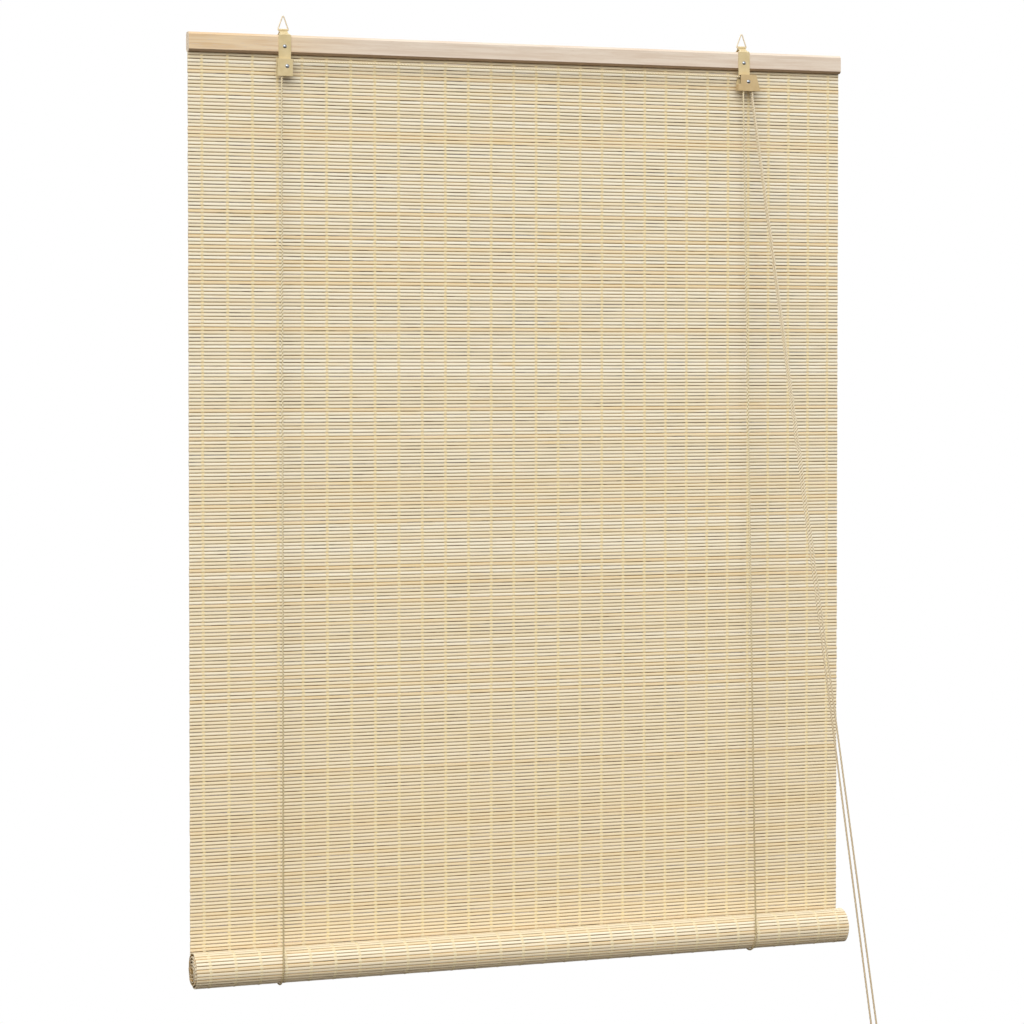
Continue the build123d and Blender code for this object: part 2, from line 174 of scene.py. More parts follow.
pore = between(tree, grain.outputs["Fibre"], 0.60, 0.72)
wood = blend_colours(tree, pore, wood, lath_shade)
facing = facing_way(tree)
# Painted shade: faces that look down, such as the lower bevel, are painted darker.
lower_bevel_shade = between(tree, facing.outputs["Z"], -0.3, -0.7)
wood = blend_colours(tree, lower_bevel_shade, wood, lath_bevel_shade)
sawn_end = place(tree, "ShaderNodeMath", {0: facing.outputs["X"]}, operation="ABSOLUTE")
wood = blend_colours(tree, between(tree, sawn_end.outputs[0], 0.6, 0.9), wood, lath_end)
tree.links.new(wood, shader.inputs["Base Color"])
add_bump(tree, shader, grain.outputs["Fibre"], 0.0003, 0.4)
dress(lath_finish, "front_lath", "back_lath")

nail_dull = (0.42, 0.41, 0.40)
nail_bright = (0.62, 0.61, 0.60)
nail_finish, tree, shader = new_finish("nail_wire", Metallic=1.0, Specular_IOR_Level=0.5)
dull = place(tree, "ShaderNodeTexNoise", {"Vector": own_place(tree), "Scale": 900.0, "Detail": 3.0})
dullness = between(tree, dull.outputs["Fac"], 0.3, 0.7)
tree.links.new(blend_colours(tree, dullness, nail_dull, nail_bright), shader.inputs["Base Color"])
tree.links.new(between(tree, dull.outputs["Fac"], 0.1, 1.3), shader.inputs["Roughness"])
dress(nail_finish, "lath_nails")


# Hanger straps and covers: strips of sheet steel, cut, folded and dipped in khaki paint. The straps go over
# the rail and curl round the rings; the covers close the pulleys in. The paint is thin and a little uneven.
def make_worn_paint():
    """Uneven paint: a slow change of tone, and small specks where it is rubbed through."""
    group = bpy.data.node_groups.new("worn_paint", "ShaderNodeTree")
    group.interface.new_socket("Place", in_out="INPUT", socket_type="NodeSocketVector")
    group.interface.new_socket("Speck Size", in_out="INPUT", socket_type="NodeSocketFloat")
    for name in ("Tone", "Speck", "Relief"):
        group.interface.new_socket(name, in_out="OUTPUT", socket_type="NodeSocketFloat")
    entry = group.nodes.new("NodeGroupInput")
    leave = group.nodes.new("NodeGroupOutput")
    per_metre = place(group, "ShaderNodeMath", {0: 1.0, 1: entry.outputs["Speck Size"]}, operation="DIVIDE")
    spot = entry.outputs["Place"]
    slow = place(group, "ShaderNodeTexNoise", {"Vector": spot, "Scale": 120.0, "Detail": 3.0})
    fine = place(group, "ShaderNodeTexNoise", {"Vector": spot, "Scale": per_metre.outputs[0], "Detail": 2.0})
    group.links.new(between(group, slow.outputs["Fac"], 0.3, 0.7), leave.inputs["Tone"])
    group.links.new(between(group, fine.outputs["Fac"], 0.66, 0.74), leave.inputs["Speck"])
    group.links.new(fine.outputs["Fac"], leave.inputs["Relief"])
    return group


def paint_finish(name, light, dark, worn):
    """Thin satin paint on sheet steel or wire."""
    material, tree, shader = new_finish(name, Specular_IOR_Level=0.4)
    paint = place_group(tree, worn_paint, {"Place": own_place(tree), "Speck Size": paint_speck})
    colour = blend_colours(tree, paint.outputs["Tone"], light, dark)
    colour = blend_colours(tree, paint.outputs["Speck"], colour, worn)
    tree.links.new(colour, shader.inputs["Base Color"])
    tree.links.new(between(tree, paint.outputs["Relief"], -0.2, 1.4), shader.inputs["Roughness"])
    add_bump(tree, shader, paint.outputs["Relief"], 0.00015, 0.5)
    return material


paint_speck = 0.0009
worn_paint = make_worn_paint()
strap_finish = paint_finish(
    "strap_paint", light=(0.68, 0.555, 0.315), dark=(0.62, 0.495, 0.265), worn=(0.52, 0.40, 0.215)
)
lock_finish = paint_finish(
    "lock_paint", light=(0.61, 0.455, 0.24), dark=(0.55, 0.40, 0.20), worn=(0.45, 0.32, 0.16)
)
dress(strap_finish, "strap_left", "strap_right", "pulley_cover_left")
dress(lock_finish, "lock_cover_right")


# Hanging rings: triangles of bent steel wire with a cream coat. Each turns in the curl of its strap, and the
# window's hook goes through it.
ring_finish = paint_finish(
    "ring_coat", light=(0.80, 0.69, 0.50), dark=(0.74, 0.62, 0.43), worn=(0.60, 0.47, 0.30)
)
dress(ring_finish, "ring_left", "ring_right")


# Rivets and pulley pins: bright steel, headed over a snap tool that leaves a smooth dome in front. They go
# through strap and rail, and through the covers as the pulleys' axles.
rivet_bright = (0.39, 0.41, 0.44)
rivet_dull = (0.27, 0.29, 0.32)
rivet_finish, tree, shader = new_finish("rivet_steel", Metallic=1.0, Specular_IOR_Level=0.5)
snap = place(tree, "ShaderNodeTexNoise", {"Vector": own_place(tree), "Scale": 1400.0, "Detail": 2.0})
snap_mark = between(tree, snap.outputs["Fac"], 0.35, 0.7)
tree.links.new(blend_colours(tree, snap_mark, rivet_bright, rivet_dull), shader.inputs["Base Color"])
tree.links.new(between(tree, snap.outputs["Fac"], -0.15, 3.2), shader.inputs["Roughness"])
add_bump(tree, shader, snap.outputs["Fac"], 0.00008, 0.4)
dress(rivet_finish, "rail_rivet_left", "rail_rivet_right", "pulley_pin_left", "pulley_pin_right")


# Pulleys and lock roller: small moulded pulleys with a groove for each cord, and a toothed brass roller that
# rides in the slanted side of the lock and pinches the pull cords.
pulley_pale = (0.72, 0.66, 0.53)
pulley_shade = (0.62, 0.56, 0.44)
pulley_speck = 0.0006
pulley_finish, tree, shader = new_finish("pulley_moulding", Specular_IOR_Level=0.4)
mould = place_group(tree, worn_paint, {"Place": own_place(tree), "Speck Size": pulley_speck})
moulding = blend_colours(tree, mould.outputs["Tone"], pulley_pale, pulley_shade)
tree.links.new(moulding, shader.inputs["Base Color"])
tree.links.new(between(tree, mould.outputs["Relief"], -0.4, 1.3), shader.inputs["Roughness"])
dress(pulley_finish, "pulley_left", "pulley_right")

roller_bright = (0.72, 0.53, 0.24)
roller_dull = (0.56, 0.40, 0.17)
roller_speck = 0.0005
roller_finish, tree, shader = new_finish("roller_brass", Metallic=1.0, Specular_IOR_Level=0.5)
turned = place_group(tree, worn_paint, {"Place": own_place(tree), "Speck Size": roller_speck})
brass = blend_colours(tree, turned.outputs["Tone"], roller_bright, roller_dull)
tree.links.new(brass, shader.inputs["Base Color"])
tree.links.new(between(tree, turned.outputs["Relief"], -0.3, 1.5), shader.inputs["Roughness"])
dress(roller_finish, "lock_roller")


# Hanging mat: slats split from bamboo culms, 5 mm wide, 2 mm thick and rounded on the outside, laid one under
# the other. The upper ones stay as they are when the blind goes up; the lower ones draw together.
slat_pitch = 5.0
slat_count = 259
upper_count = 42
mat_half_width = 500.0
mat_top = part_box("mat_panel")[1].z / mm
thread_count = 29
first_thread = 20.0
last_thread = 17.5
spacing_loss = 0.15
slat_section = (
    # along the mat, out of the mat, share of the groove colour (brown edge with painted shade, more on the
    # lower flank); the back has a share of its own
    (2.48, 0.05, 1.0),
    (1.98, 0.70, 0.42),
    (1.2, 1.0, 0.0),
    (-1.2, 1.0, 0.0),
    (-1.98, 0.70, 0.58),
    (-2.48, 0.05, 1.0),
    (-1.5, -1.0, None),
    (1.5, -1.0, None),
)
back_depth = 0.12
end_grain = 0.18
slat_bows = (
    # size and length of each wave along a slat
    (0.09, 71.0),
    (0.05, 23.0),
)
slat_lift = 0.07
slat_lift_wave = 57.0
slat_width_change = 0.012
slat_width_wave = 31.0
slat_end_short = 0.5
slat_end_long = 0.2
slat_thinnest = 0.92
dice = random.Random(41)

thread_places = []
x = first_thread - mat_half_width
mean_spacing = (2 * mat_half_width - first_thread - last_thread) / (thread_count - 1)
spacing = mean_spacing + spacing_loss * (thread_count - 2) / 2
for index in range(thread_count):
    thread_places.append(x)
    x += spacing - index * spacing_loss


def new_piece(name, verts, faces, marks, material):
    """Object from points in millimetres, with a named value for each point."""
    mesh = bpy.data.meshes.new(name)
    mesh.from_pydata([(x * mm, y * mm, z * mm) for x, y, z in verts], [], faces)
    for mark, values in marks.items():
        mesh.attributes.new(mark, "FLOAT", "POINT").data.foreach_set("value", values)
    mesh.polygons.foreach_set("use_smooth", [len(face) == 4 for face in faces])
    mesh.materials.append(material)
    piece = bpy.data.objects.new(name, mesh)
    scene.collection.objects.link(piece)
    return piece


def slats_piece(name, slats, material, closeness=1.0, back=back_depth):
    """Slats of split bamboo. Each is given by its middle, the directions along and out of the mat, and its
    shift along X; it is a little bowed, and its width changes along its length."""
    verts, faces, seeds, grooves = [], [], [], []
    ring = len(slat_section)
    stations = [-mat_half_width, *thread_places, mat_half_width]
    for middle, along, out, shift in slats:
        seed = dice.random()
        phases = [dice.uniform(0, 2 * math.pi) for _ in range(4)]
        left_end = dice.uniform(-slat_end_short, slat_end_long)
        right_end = dice.uniform(-slat_end_long, slat_end_short)
        thickness = dice.uniform(slat_thinnest, 1.0)
        first = len(verts)
        for station, x in enumerate(stations):
            bow = sum(size * math.sin(x / wave + phase) for (size, wave), phase in zip(slat_bows, phases))
            lift = slat_lift * math.sin(x / slat_lift_wave + phases[2])
            width = 1 + slat_width_change * math.sin(x / slat_width_wave + phases[3])
            if station == 0:
                x -= left_end
            if station == len(stations) - 1:
                x -= right_end
            for side, face, groove in slat_section:
                reach = side * width + bow
                rise = face * thickness - abs(lift)
                y = middle[0] + along[0] * reach + out[0] * rise
                z = middle[1] + along[1] * reach + out[1] * rise
                verts.append((x + shift, y, z))
                seeds.append(seed)
                grooves.append(back if groove is None else groove * closeness)
        for station in range(len(stations) - 1):
            base = first + station * ring
            for corner in range(ring):
                after = (corner + 1) % ring
                faces.append((base + corner, base + after, base + ring + after, base + ring + corner))
        last = first + (len(stations) - 1) * ring
        for end in (range(first + ring - 1, first - 1, -1), range(last, last + ring)):
            faces.append(tuple(range(len(verts), len(verts) + ring)))
            verts += [verts[corner] for corner in end]
            seeds += [seed] * ring
            grooves += [end_grain] * ring
    return new_piece(name, verts, faces, {"slat_seed": seeds, "groove": grooves}, material)


def hanging_slat(index):
    """Middle and directions of a slat of the hanging mat, front outwards."""
    return ((0.0, mat_top - (index + 0.5) * slat_pitch), (0.0, 1.0), (-1.0, 0.0), 0.0)


bamboo_tones = (
    # share of the slats, colour of the skin
    (0.0, (0.84, 0.735, 0.525)),
    (0.30, (0.89, 0.805, 0.605)),
    (0.62, (0.945, 0.885, 0.715)),
    (0.88, (0.87, 0.76, 0.53)),
    (1.0, (0.84, 0.685, 0.43)),
)
skin_yellow = (0.86, 0.69, 0.40)
skin_streak = (0.76, 0.61, 0.39)
skin_lower_tint = (0.84, 0.69, 0.43)
skin_roll_shade = (0.72, 0.60, 0.42)
# Groove colours: the brown edges of the slats, with painted shade in the grooves.
groove_pale = (0.42, 0.24, 0.055)
groove_deep = (0.19, 0.10, 0.012)
groove_orange = (0.53, 0.285, 0.06)
groove_lower_tint = (0.20, 0.08, 0.008)
groove_under_shade = (0.115, 0.055, 0.008)
bamboo_grain_fineness = 420.0
lower_tint_heights = (-0.55, -1.30)
lower_tint_share = 0.6
roll_edge = (-1.310, -1.318)
roll_shade_share = 0.42
crest_shine = 0.35
groove_shine = 0.02

bamboo_finish, tree, shader = new_finish("split_bamboo", Roughness=0.55)
spot = own_place(tree)
seed = place(tree, "ShaderNodeAttribute", attribute_name="slat_seed").outputs["Fac"]
groove = place(tree, "ShaderNodeAttribute", attribute_name="groove").outputs["Fac"]
across = place(tree, "ShaderNodeSeparateXYZ", {0: spot})
tone = place(tree, "ShaderNodeValToRGB", {"Fac": seed})
while len(tone.color_ramp.elements) < len(bamboo_tones):
    tone.color_ramp.elements.new(0.5)
for element, (position, colour) in zip(tone.color_ramp.elements, bamboo_tones):
    element.position = position
    element.color = (*colour, 1)
line_step = 397.0
own_line = place(
    tree, "ShaderNodeCombineXYZ", {"X": across.outputs["X"], "Y": product(tree, seed, line_step)}
)
grain = place_group(tree, long_grain, {"Place": spot, "Fineness": bamboo_grain_fineness})
patch = place(tree, "ShaderNodeTexNoise", {"Vector": own_line.outputs[0], "Scale": 9.0, "Detail": 2.0})
yellowing = between(tree, patch.outputs["Fac"], 0.58, 0.86)
skin = blend_colours(tree, yellowing, tone.outputs["Color"], skin_yellow)
streak = between(tree, grain.outputs["Streak"], 0.52, 0.95)
skin = blend_colours(tree, streak, skin, skin_streak)
above_roll = between(tree, across.outputs["Z"], *reversed(roll_edge))
# Towards the bottom of the hanging mat the skin is painted warmer and the grooves darker.
lower_tint = product(tree, between(tree, across.outputs["Z"], *lower_tint_heights), lower_tint_share)
lower_tint = product(tree, lower_tint, above_roll)
skin = blend_colours(tree, lower_tint, skin, skin_lower_tint)
# Painted shade: the slats at the height of the roll are painted darker.
roll_shade = product(tree, between(tree, across.outputs["Z"], *roll_edge), roll_shade_share)
skin = blend_colours(tree, roll_shade, skin, skin_roll_shade)
gap = place(tree, "ShaderNodeTexNoise", {"Vector": own_line.outputs[0], "Scale": 15.0, "Detail": 1.0})
depth = between(tree, gap.outputs["Fac"], 0.35, 0.62)
# Painted shade: the groove colour darkens the flanks of each slat, more on the lower one; its darkness varies
# at random along the groove.
side = blend_colours(tree, depth, groove_pale, groove_deep)
side = blend_colours(tree, between(tree, seed, 0.80, 0.92), side, groove_orange)
side = blend_colours(tree, lower_tint, side, groove_lower_tint)
flank = blend_colours(tree, groove, skin, side)
# Painted shade: random dark runs in the grooves, only on flanks that face down, so the foot of the roll is
# darker.
dark_run = between(tree, gap.outputs["Fac"], 0.57, 0.63)
facing = facing_way(tree)
underside_shade = between(tree, facing.outputs["Z"], 0.05, -0.3)
deep = between(tree, groove, 0.15, 0.55)
dark = product(tree, dark_run, product(tree, underside_shade, deep))
flank = blend_colours(tree, dark, flank, groove_under_shade)
tree.links.new(flank, shader.inputs["Base Color"])
shine = place(
    tree,
    "ShaderNodeMapRange",
    {"Value": groove, "From Max": 0.8, "To Min": crest_shine, "To Max": groove_shine},
)
tree.links.new(shine.outputs["Result"], shader.inputs["Specular IOR Level"])
add_bump(tree, shader, grain.outputs["Fibre"], 0.00025, 0.5)

slats = [hanging_slat(index) for index in range(slat_count)]
upper_slats = slats_piece("slats_upper", slats[:upper_count], bamboo_finish)
lower_slats = slats_piece("slats_lower", slats[upper_count:], bamboo_finish)
for piece in (upper_slats, lower_slats):
    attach(piece, "head")
    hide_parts("mat_panel")
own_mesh(lower_slats)


# Warp threads: pairs of pale yellow yarns, twined round each slat in turn, one in front and one behind. They
# run in columns over the whole mat, into the roll, and fill the grooves between the slats where they cross.
thread_first_slat = 5
yarn_rows = (
    # along the mat, out of the mat, slant, share of the painted shade in the groove
    (2.5, 0.72, -0.45, 1.0),
    (1.05, 1.34, -0.2, 0.0),
    (-1.05, 1.34, 0.2, 0.0),
    (-2.5, 0.72, 0.45, 1.0),
)
yarn_columns = (
    # across the thread, out of the mat
    (-2.2, -0.42),
    (0.0, 0.0),
    (2.2, -0.42),
)
yarn_sway = 0.25
yarn_cream = (0.90, 0.79, 0.53)
yarn_pale = (0.88, 0.78, 0.58)
yarn_groove_shade = (0.80, 0.62, 0.29)
yarn_slack = (0.84, 0.76, 0.56)
yarn_slack_groove_shade = (0.70, 0.57, 0.34)
yarn_fold_shade = (0.74, 0.59, 0.31)
slack_heights = (-1.308, -1.314)


def yarns_piece(name, crossings, material):
    """Yarn over each crossing of a slat and a thread, given as for a slat; it dips into the grooves."""
    verts, faces, tints, dips = [], [], [], []
    wide = len(yarn_columns)
    for middle, along, out, shift in crossings:
        for x in thread_places:
            tint = dice.random()
            lean = dice.choice((-1, 1))
            sway = dice.uniform(-yarn_sway, yarn_sway)
            first = len(verts)
            for side, face, slant, dip in yarn_rows:
                for offset, edge in yarn_columns:
                    rise = face + edge
                    y = middle[0] + along[0] * side + out[0] * rise
                    z = middle[1] + along[1] * side + out[1] * rise
                    verts.append((x + shift + offset + lean * slant + sway, y, z))
                    tints.append(tint)
                    dips.append(dip)
            for row in range(len(yarn_rows) - 1):
                for column in range(wide - 1):
                    base = first + row * wide + column
                    faces.append((base, base + wide, base + wide + 1, base + 1))
    return new_piece(name, verts, faces, {"yarn_tint": tints, "yarn_dip": dips}, material)


def both_sides(index):
    """Crossings on the front and on the back of a hanging slat."""
    middle, along, out, shift = hanging_slat(index)
    return ((middle, along, out, shift), (middle, along, (-out[0], out[1]), shift))


yarn_finish, tree, shader = new_finish("warp_yarn", Roughness=0.85, Specular_IOR_Level=0.2)
tint = place(tree, "ShaderNodeAttribute", attribute_name="yarn_tint").outputs["Fac"]
dip = place(tree, "ShaderNodeAttribute", attribute_name="yarn_dip").outputs["Fac"]
crest_yarn = blend_colours(tree, tint, yarn_cream, yarn_pale)
# Painted shade: the yarn is painted darker where it dips into the grooves between the slats.
yarn = blend_colours(tree, dip, crest_yarn, yarn_groove_shade)
down = place(tree, "ShaderNodeSeparateXYZ", {0: own_place(tree)})
slack = between(tree, down.outputs["Z"], *slack_heights)
slack_yarn = blend_colours(tree, dip, yarn_slack, yarn_slack_groove_shade)
yarn = blend_colours(tree, slack, yarn, slack_yarn)
twist = place(
    tree,
    "ShaderNodeTexWave",
    {"Vector": own_place(tree), "Scale": 420.0, "Distortion": 1.0},
    bands_direction="DIAGONAL",
)
# Painted shade in the folds of the twist.
fold_shade = between(tree, twist.outputs["Fac"], 0.0, 0.35)
tree.links.new(blend_colours(tree, fold_shade, yarn_fold_shade, yarn), shader.inputs["Base Color"])
add_bump(tree, shader, twist.outputs["Fac"], 0.0002, 0.6)

upper_crossings = [side for index in range(thread_first_slat, upper_count) for side in both_sides(index)]
lower_crossings = [side for index in range(upper_count, slat_count) for side in both_sides(index)]
upper_yarns = yarns_piece("threads_upper", upper_crossings, yarn_finish)
lower_yarns = yarns_piece("threads_lower", lower_crossings, yarn_finish)
for piece in (upper_yarns, lower_yarns):
    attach(piece, "head")
    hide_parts("mat_threads")
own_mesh(lower_yarns)


# Roll: the foot of the mat, wound up loosely by hand from the back, under and over the front, so that its
# turns show at the ends. It lies in the two cord slings and turns as it climbs.
roll_radius = 26.0
roll_axis_y = -24.6
roll_axis_z = mat_top - 1310.4
roll_turn_pitch = 4.6
roll_first_turn_loss = 2.5
roll_core_radius = 5.0
roll_tail_angle = 0.25
roll_skew = 3.0
roll_closeness = 0.85
# The backs of the slats on the roll take most of the groove colour: their brown tone, with painted shade
# inside the roll.
roll_back_tone_and_shade = 0.9
outer_turn_radius = 21.0
slat_crest = 2.8
slat_half = 1.0
joining_rows = (
    # back from the middle of the mat, pitches below its foot
    (0.1, 0.56),
    (0.3, 1.46),
)

mat_foot = mat_top - slat_count * slat_pitch
roll_corner = math.sqrt(roll_radius**2 - (slat_crest / 2) ** 2) - slat_half
roll_start = roll_corner / math.cos(slat_pitch / roll_corner / 2)


def radius_at(angle):
    """Radius of the winding at an angle from the back, downwards; the outer turn lies round at first."""
    turns = (angle + roll_tail_angle) / (2 * math.pi)
    return roll_start - roll_first_turn_loss * min(turns, 1) ** 3 - roll_turn_pitch * max(turns - 1, 0)


def on_winding(angle):
    """Place on the winding's line."""
    radius = radius_at(angle)
    return (roll_axis_y + radius * math.cos(angle), roll_axis_z - radius * math.sin(angle))


wound_slats = []
angle = -roll_tail_angle
while radius_at(angle) > roll_core_radius:
    turn = slat_pitch / radius_at(angle)
    begin, end = on_winding(angle), on_winding(angle + turn)
    span = math.dist(begin, end)
    along = ((begin[0] - end[0]) / span, (begin[1] - end[1]) / span)
    out = (along[1], -along[0])
    middle = ((begin[0] + end[0]) / 2, (begin[1] + end[1]) / 2)
    shift = -roll_skew * min(angle / (2 * math.pi), 1)
    wound_slats.append((middle, along, out, shift))
    angle += turn
joining_slats = [
    ((back, mat_foot - rows * slat_pitch), (0.0, 1.0), (-1.0, 0.0), 0.0) for back, rows in joining_rows
]
roll_axis = (roll_axis_y, roll_axis_z)
outer_turn = [slat for slat in wound_slats if math.dist(slat[0], roll_axis) > outer_turn_radius]
roll_slats = slats_piece(
    "roll_slats", wound_slats, bamboo_finish, closeness=roll_closeness, back=roll_back_tone_and_shade
)
roll_yarns = yarns_piece("roll_threads", outer_turn, yarn_finish)
joining = slats_piece("slats_above_roll", joining_slats, bamboo_finish)
joining_crossings = [
    (middle, along, side, shift)
    for middle, along, out, shift in joining_slats
    for side in (out, (-out[0], out[1]))
]
joining_yarns = yarns_piece("threads_above_roll", joining_crossings, yarn_finish)
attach(joining, "lift")
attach(joining_yarns, "lift")
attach(roll_slats, "roll")
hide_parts("mat_roll")
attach(roll_yarns, "roll")


# Lift cords: braided cotton, painted darker towards the foot as painted shade. Each is knotted behind its
# strap, goes down behind the mat, under the roll and up in front to its pulley; the left one then runs along
# the rail to the lock.
cord_radius = 0.0014
cord_sides = 8
plait_step = 0.0008
plait_relief = 0.08
line_fineness = 1000
foot_shade_heights = (-0.60, -1.25)


def smooth_route(name, route):
    """Places on a smooth curve that has the route's points as its control points."""
    curve = bpy.data.curves.new(name, "CURVE")
    curve.dimensions = "3D"
    spline = curve.splines.new("NURBS")
    spline.points.add(len(route) - 1)
    for point, spot in zip(spline.points, route):
        point.co = (*spot, 1)
    spline.order_u = 3
    spline.use_endpoint_u = True
    spline.resolution_u = line_fineness
    holder = bpy.data.objects.new(name, curve)
    line = bpy.data.meshes.new_from_object(holder)
    spots = [vertex.co.copy() for vertex in line.vertices]
    bpy.data.objects.remove(holder)
    bpy.data.curves.remove(curve)
    bpy.data.meshes.remove(line)
    kept = [spots[0]]
    for spot in spots[1:]:
        if (spot - kept[-1]).length >= plait_step:
            kept.append(spot)
    kept[-1] = spots[-1]
    return kept


def braided_cord(name, spots, material):
    """Round cord along a line, with plaits and furrows by turns around it and along it."""
    verts, faces, plaits = [], [], []
    heading = (spots[1] - spots[0]).normalized()
    side = heading.orthogonal().normalized()
    for step, spot in enumerate(spots):
        before, after = spots[max(step - 1, 0)], spots[min(step + 1, len(spots) - 1)]
        heading = (after - before).normalized()
        side = (side - heading * side.dot(heading)).normalized()
        across = heading.cross(side)
        for corner in range(cord_sides):
            high = float((step // 2 + corner // 2) % 2)
            angle = 2 * math.pi * corner / cord_sides
            radius = cord_radius * (1 - plait_relief * (1 - high))
            verts.append(spot + (side * math.cos(angle) + across * math.sin(angle)) * radius)
            plaits.append(high)
    for step in range(len(spots) - 1):
        for corner in range(cord_sides):
            after = (corner + 1) % cord_sides
            base = step * cord_sides
            faces.append((base + corner, base + after, base + cord_sides + after, base + cord_sides + corner))
    last = (len(spots) - 1) * cord_sides
    faces.append(tuple(reversed(range(cord_sides))))
    faces.append(tuple(last + corner for corner in range(cord_sides)))
    return new_piece(name, [spot / mm for spot in verts], faces, {"plait": plaits}, material)


def cotton_finish(name, top_colour, top_furrow_shade, foot_shade, foot_furrow_shade):
    """Braided cotton, painted darker towards the foot and in the furrows of the plait, as painted shade."""
    material, tree, shader = new_finish(name, Roughness=0.9, Specular_IOR_Level=0.2)
    plait = place(tree, "ShaderNodeAttribute", attribute_name="plait").outputs["Fac"]
    height = place(tree, "ShaderNodeSeparateXYZ", {0: own_place(tree)})
    # Painted shade: the cord is painted darker towards the foot.
    foot_shade_share = between(tree, height.outputs["Z"], *foot_shade_heights)
    crest = blend_colours(tree, foot_shade_share, top_colour, foot_shade)
    # Painted shade in the furrows of the plait.
    furrow_shade = blend_colours(tree, foot_shade_share, top_furrow_shade, foot_furrow_shade)
    lint = place(tree, "ShaderNodeTexNoise", {"Vector": own_place(tree), "Scale": 1500.0, "Detail": 2.0})
    plaited = blend_colours(tree, plait, furrow_shade, crest)
    fluff = between(tree, lint.outputs["Fac"], 0.55, 0.85)
    tree.links.new(blend_colours(tree, fluff, plaited, top_colour), shader.inputs["Base Color"])
    add_bump(tree, shader, lint.outputs["Fac"], 0.0001, 0.5)
    return material


cord_finish = cotton_finish(
    "cord_braid",
    top_colour=(0.92, 0.83, 0.62),
    top_furrow_shade=(0.43, 0.325, 0.15),
    foot_shade=(0.62, 0.505, 0.30),
    foot_furrow_shade=(0.345, 0.27, 0.14),
)


def lay_cord(node, body, route, material):
    """One stretch of cord in the place of its solid, and the places along it."""
    spots = smooth_route(node + "_line", route)
    piece = braided_cord(node + "_braid", spots, material)
    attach(piece, body)
    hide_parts(node)
    return piece, spots


def shorten(piece):
    """Gives a run of cord a mesh of its own."""
    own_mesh(piece)


left_front = ((-0.3678, -0.0124, -0.0725), (-0.3679, -0.0129, -0.0893), (-0.3780, -0.0521, -1.3380))
right_front = ((0.3369, -0.0160, -0.0725), (0.3370, -0.0165, -0.0893), (0.3445, -0.0521, -1.3380))
for node, route in (("cord_left_front", left_front), ("cord_right_front", right_front)):
    piece, _ = lay_cord(node, "head", route, cord_finish)
    shorten(piece)

sling_bends = (
    (0.0029, -1.3383),
    (0.0029, -1.3497),
    (-0.0132, -1.3658),
    (-0.0360, -1.3658),
    (-0.0521, -1.3497),
    (-0.0521, -1.3383),
)
for node, x in (("cord_left_sling", -0.3780), ("cord_right_sling", 0.3445)):
    lay_cord(node, "lift", [(x, y, z) for y, z in sling_bends], cord_finish)

left_back = (
    (-0.3626, 0.0116, -0.0569),
    (-0.3626, 0.0029, -0.0569),
    (-0.3627, 0.0029, -0.0656),
    (-0.3780, 0.0029, -1.3380),
)
right_back = (
    (0.3409, 0.0116, -0.0569),
    (0.3409, 0.0029, -0.0569),
    (0.3409, 0.0029, -0.0656),
    (0.3445, 0.0029, -1.3380),
)
for node, route in (("cord_left_back", left_back), ("cord_right_back", right_back)):
    piece, _ = lay_cord(node, "head", route, cord_finish)
    shorten(piece)

cross_run = (
    (-0.3678, -0.0124, -0.07245),
    (-0.3678, -0.0124, -0.0631),
    (-0.3530, -0.0124, -0.0631),
    (0.3369, -0.0124, -0.0631),
    (0.3517, -0.0124, -0.0631),
    (0.3517, -0.0124, -0.0725),
)
lay_cord("cord_cross", "head", cross_run, cord_finish)
lock_turn = (
    (0.3369, -0.0160, -0.07245),
    (0.3369, -0.0160, -0.0631),
    (0.3517, -0.0160, -0.0631),
    (0.3517, -0.0160, -0.0725),
)
lay_cord("cord_lock_turn", "head", lock_turn, cord_finish)


# Knots: overhand knots that stop the lift cords behind the straps, drawn tight by the weight of the roll.
# Each leaves a short tail.
knot_turns = 2.25
knot_girth = 0.0019
knot_rise = 0.0019
knot_points_per_turn = 8
knot_tail = 0.007
knot_first_rise = 0.35
knot_last_rise = 0.8


def tie_knot(name, start, heading, material):
    """Cord wound round itself at a place, with its tail in line with the cord."""
    heading = Vector(heading).normalized()
    side = heading.orthogonal().normalized()
    across = heading.cross(side)
    start = Vector(start)
    route = [start]
    for step in range(int(knot_turns * knot_points_per_turn)):
        angle = 2 * math.pi * step / knot_points_per_turn
        height = knot_rise * (knot_first_rise + angle / (2 * math.pi))
        around = side * math.cos(angle) + across * math.sin(angle)
        route.append(start + heading * height + around * knot_girth)
    route.append(start + heading * (knot_rise * (knot_turns + knot_last_rise)))
    route.append(start + heading * (knot_rise * knot_turns + knot_tail))
    piece = braided_cord(name, smooth_route(name + "_line", route), material)
    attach(piece, "head")
    return piece


for name, route in (("knot_left_back", left_back), ("knot_right_back", right_back)):
    tie_knot(name, route[0], (0, 1, 0), cord_finish)


